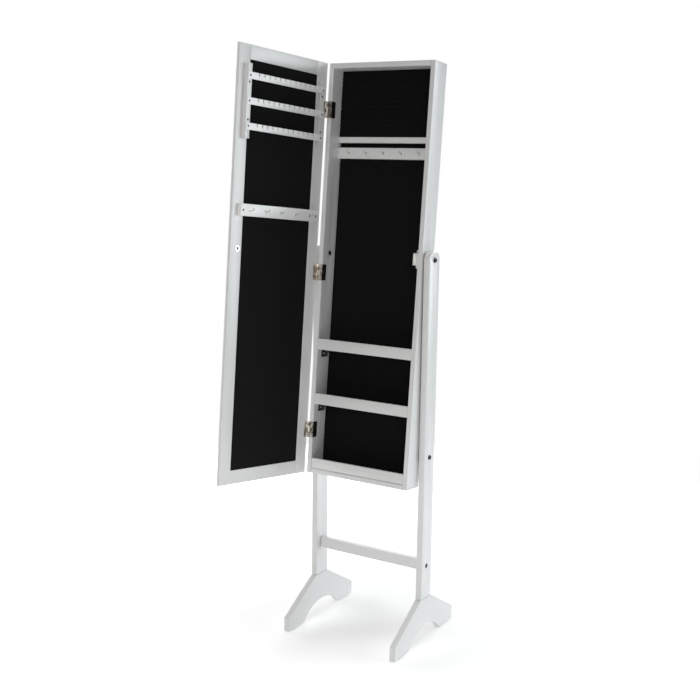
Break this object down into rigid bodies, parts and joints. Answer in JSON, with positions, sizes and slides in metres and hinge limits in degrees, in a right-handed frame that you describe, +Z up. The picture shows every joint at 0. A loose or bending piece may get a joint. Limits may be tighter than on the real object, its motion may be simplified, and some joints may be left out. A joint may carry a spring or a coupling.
{
  "type": "jewelry armoire",
  "caption": "Slim free-standing cabinet that leans between two footed posts, with a hinged mirror door carrying an earring rack and hooks over felt-lined storage.",
  "frame": {"origin": "on the floor, midway between the two feet and in line with the posts, which is the point under the cabinet's pivot", "axes": "+X to the right seen from the front, +Y to the back, +Z up; the cabinet's open front faces -Y and the door is hinged on its left (-X) edge"},
  "size_m": [0.4153, 0.5756, 1.6032],
  "materials": {
    "white_paint": "white satin paint on fibreboard",
    "dark_steel": "dark plated",
    "zinc_steel": "bright zinc plated",
    "insert_brass": "plain",
    "black_plastic": "moulded",
    "white_plastic": "moulded",
    "nylon": "moulded",
    "beech": "bare dowel",
    "black_felt": "flocked felt",
    "black_velvet": "velvet over foam",
    "hook_nickel": "polished",
    "hinge_nickel": "aged nickel",
    "mirror_silver": "silvered glass",
    "fibreboard": "bare back sheet"
  },
  "bodies": {
    "stand": {"left_foot": "white_paint", "right_foot": "white_paint", "left_post": "white_paint", "right_post": "white_paint", "lower_crossbar": "white_paint", "rear_stretcher": "white_paint", "crossbar_bolts": "dark_steel", "threaded_inserts": "insert_brass", "foot_bolts": "dark_steel", "foot_glides": "black_plastic", "pivot_bolts": "dark_steel", "pivot_washers": "zinc_steel", "pivot_nuts": "dark_steel"},
    "cabinet": {"cabinet_left_side": "white_paint", "cabinet_right_side": "white_paint", "cabinet_top": "white_paint", "cabinet_bottom": "white_paint", "back_board": "white_paint", "back_felt": "black_felt", "ring_pad": "black_velvet", "ring_ledge": "white_paint", "necklace_rail": "white_paint", "necklace_hooks": "hook_nickel", "upper_shelf": "white_paint", "lower_shelf": "white_paint", "upper_shelf_rail": "white_paint", "lower_shelf_rail": "white_paint", "bottom_rail": "white_paint", "shelf_brackets": "black_plastic", "shelf_bracket_screws": "zinc_steel", "catch_body": "white_plastic", "catch_magnet": "zinc_steel", "catch_pole_plates": "zinc_steel", "catch_screws": "zinc_steel", "cabinet_hinge_leaves": "hinge_nickel", "hinge_pins": "hinge_nickel", "cabinet_hinge_screws": "dark_steel", "pivot_bushes": "nylon", "corner_dowels": "beech"},
    "door": {"hinge_stile": "white_paint", "free_stile": "white_paint", "door_top_rail": "white_paint", "door_bottom_rail": "white_paint", "mirror_glass": "mirror_silver", "mirror_backing": "fibreboard", "door_felt": "black_felt", "inner_rack_bracket": "white_paint", "outer_rack_bracket": "white_paint", "top_earring_bar": "white_paint", "middle_earring_bar": "white_paint", "bottom_earring_bar": "white_paint", "earring_rack_screws": "dark_steel", "door_hook_rail": "white_paint", "door_hooks": "hook_nickel", "door_rail_screws": "dark_steel", "strike_plate": "zinc_steel", "strike_screw": "dark_steel", "door_hinge_leaves": "hinge_nickel", "door_hinge_screws": "dark_steel"}
  },
  "joints": [
    {"name": "cabinet_tilt", "type": "hinge", "parent": "stand", "child": "cabinet", "pos_m": [0, 0, 1.0645], "axis": [1, 0, 0], "range_deg": [-11.7, 0.8]},
    {"name": "door_swing", "type": "hinge", "parent": "cabinet", "child": "door", "pos_m": [-0.1615, -0.03929, 1.01442], "axis": [0, -0.0924, -0.9957], "range_deg": [-100.4, 23.6]}
  ]
}
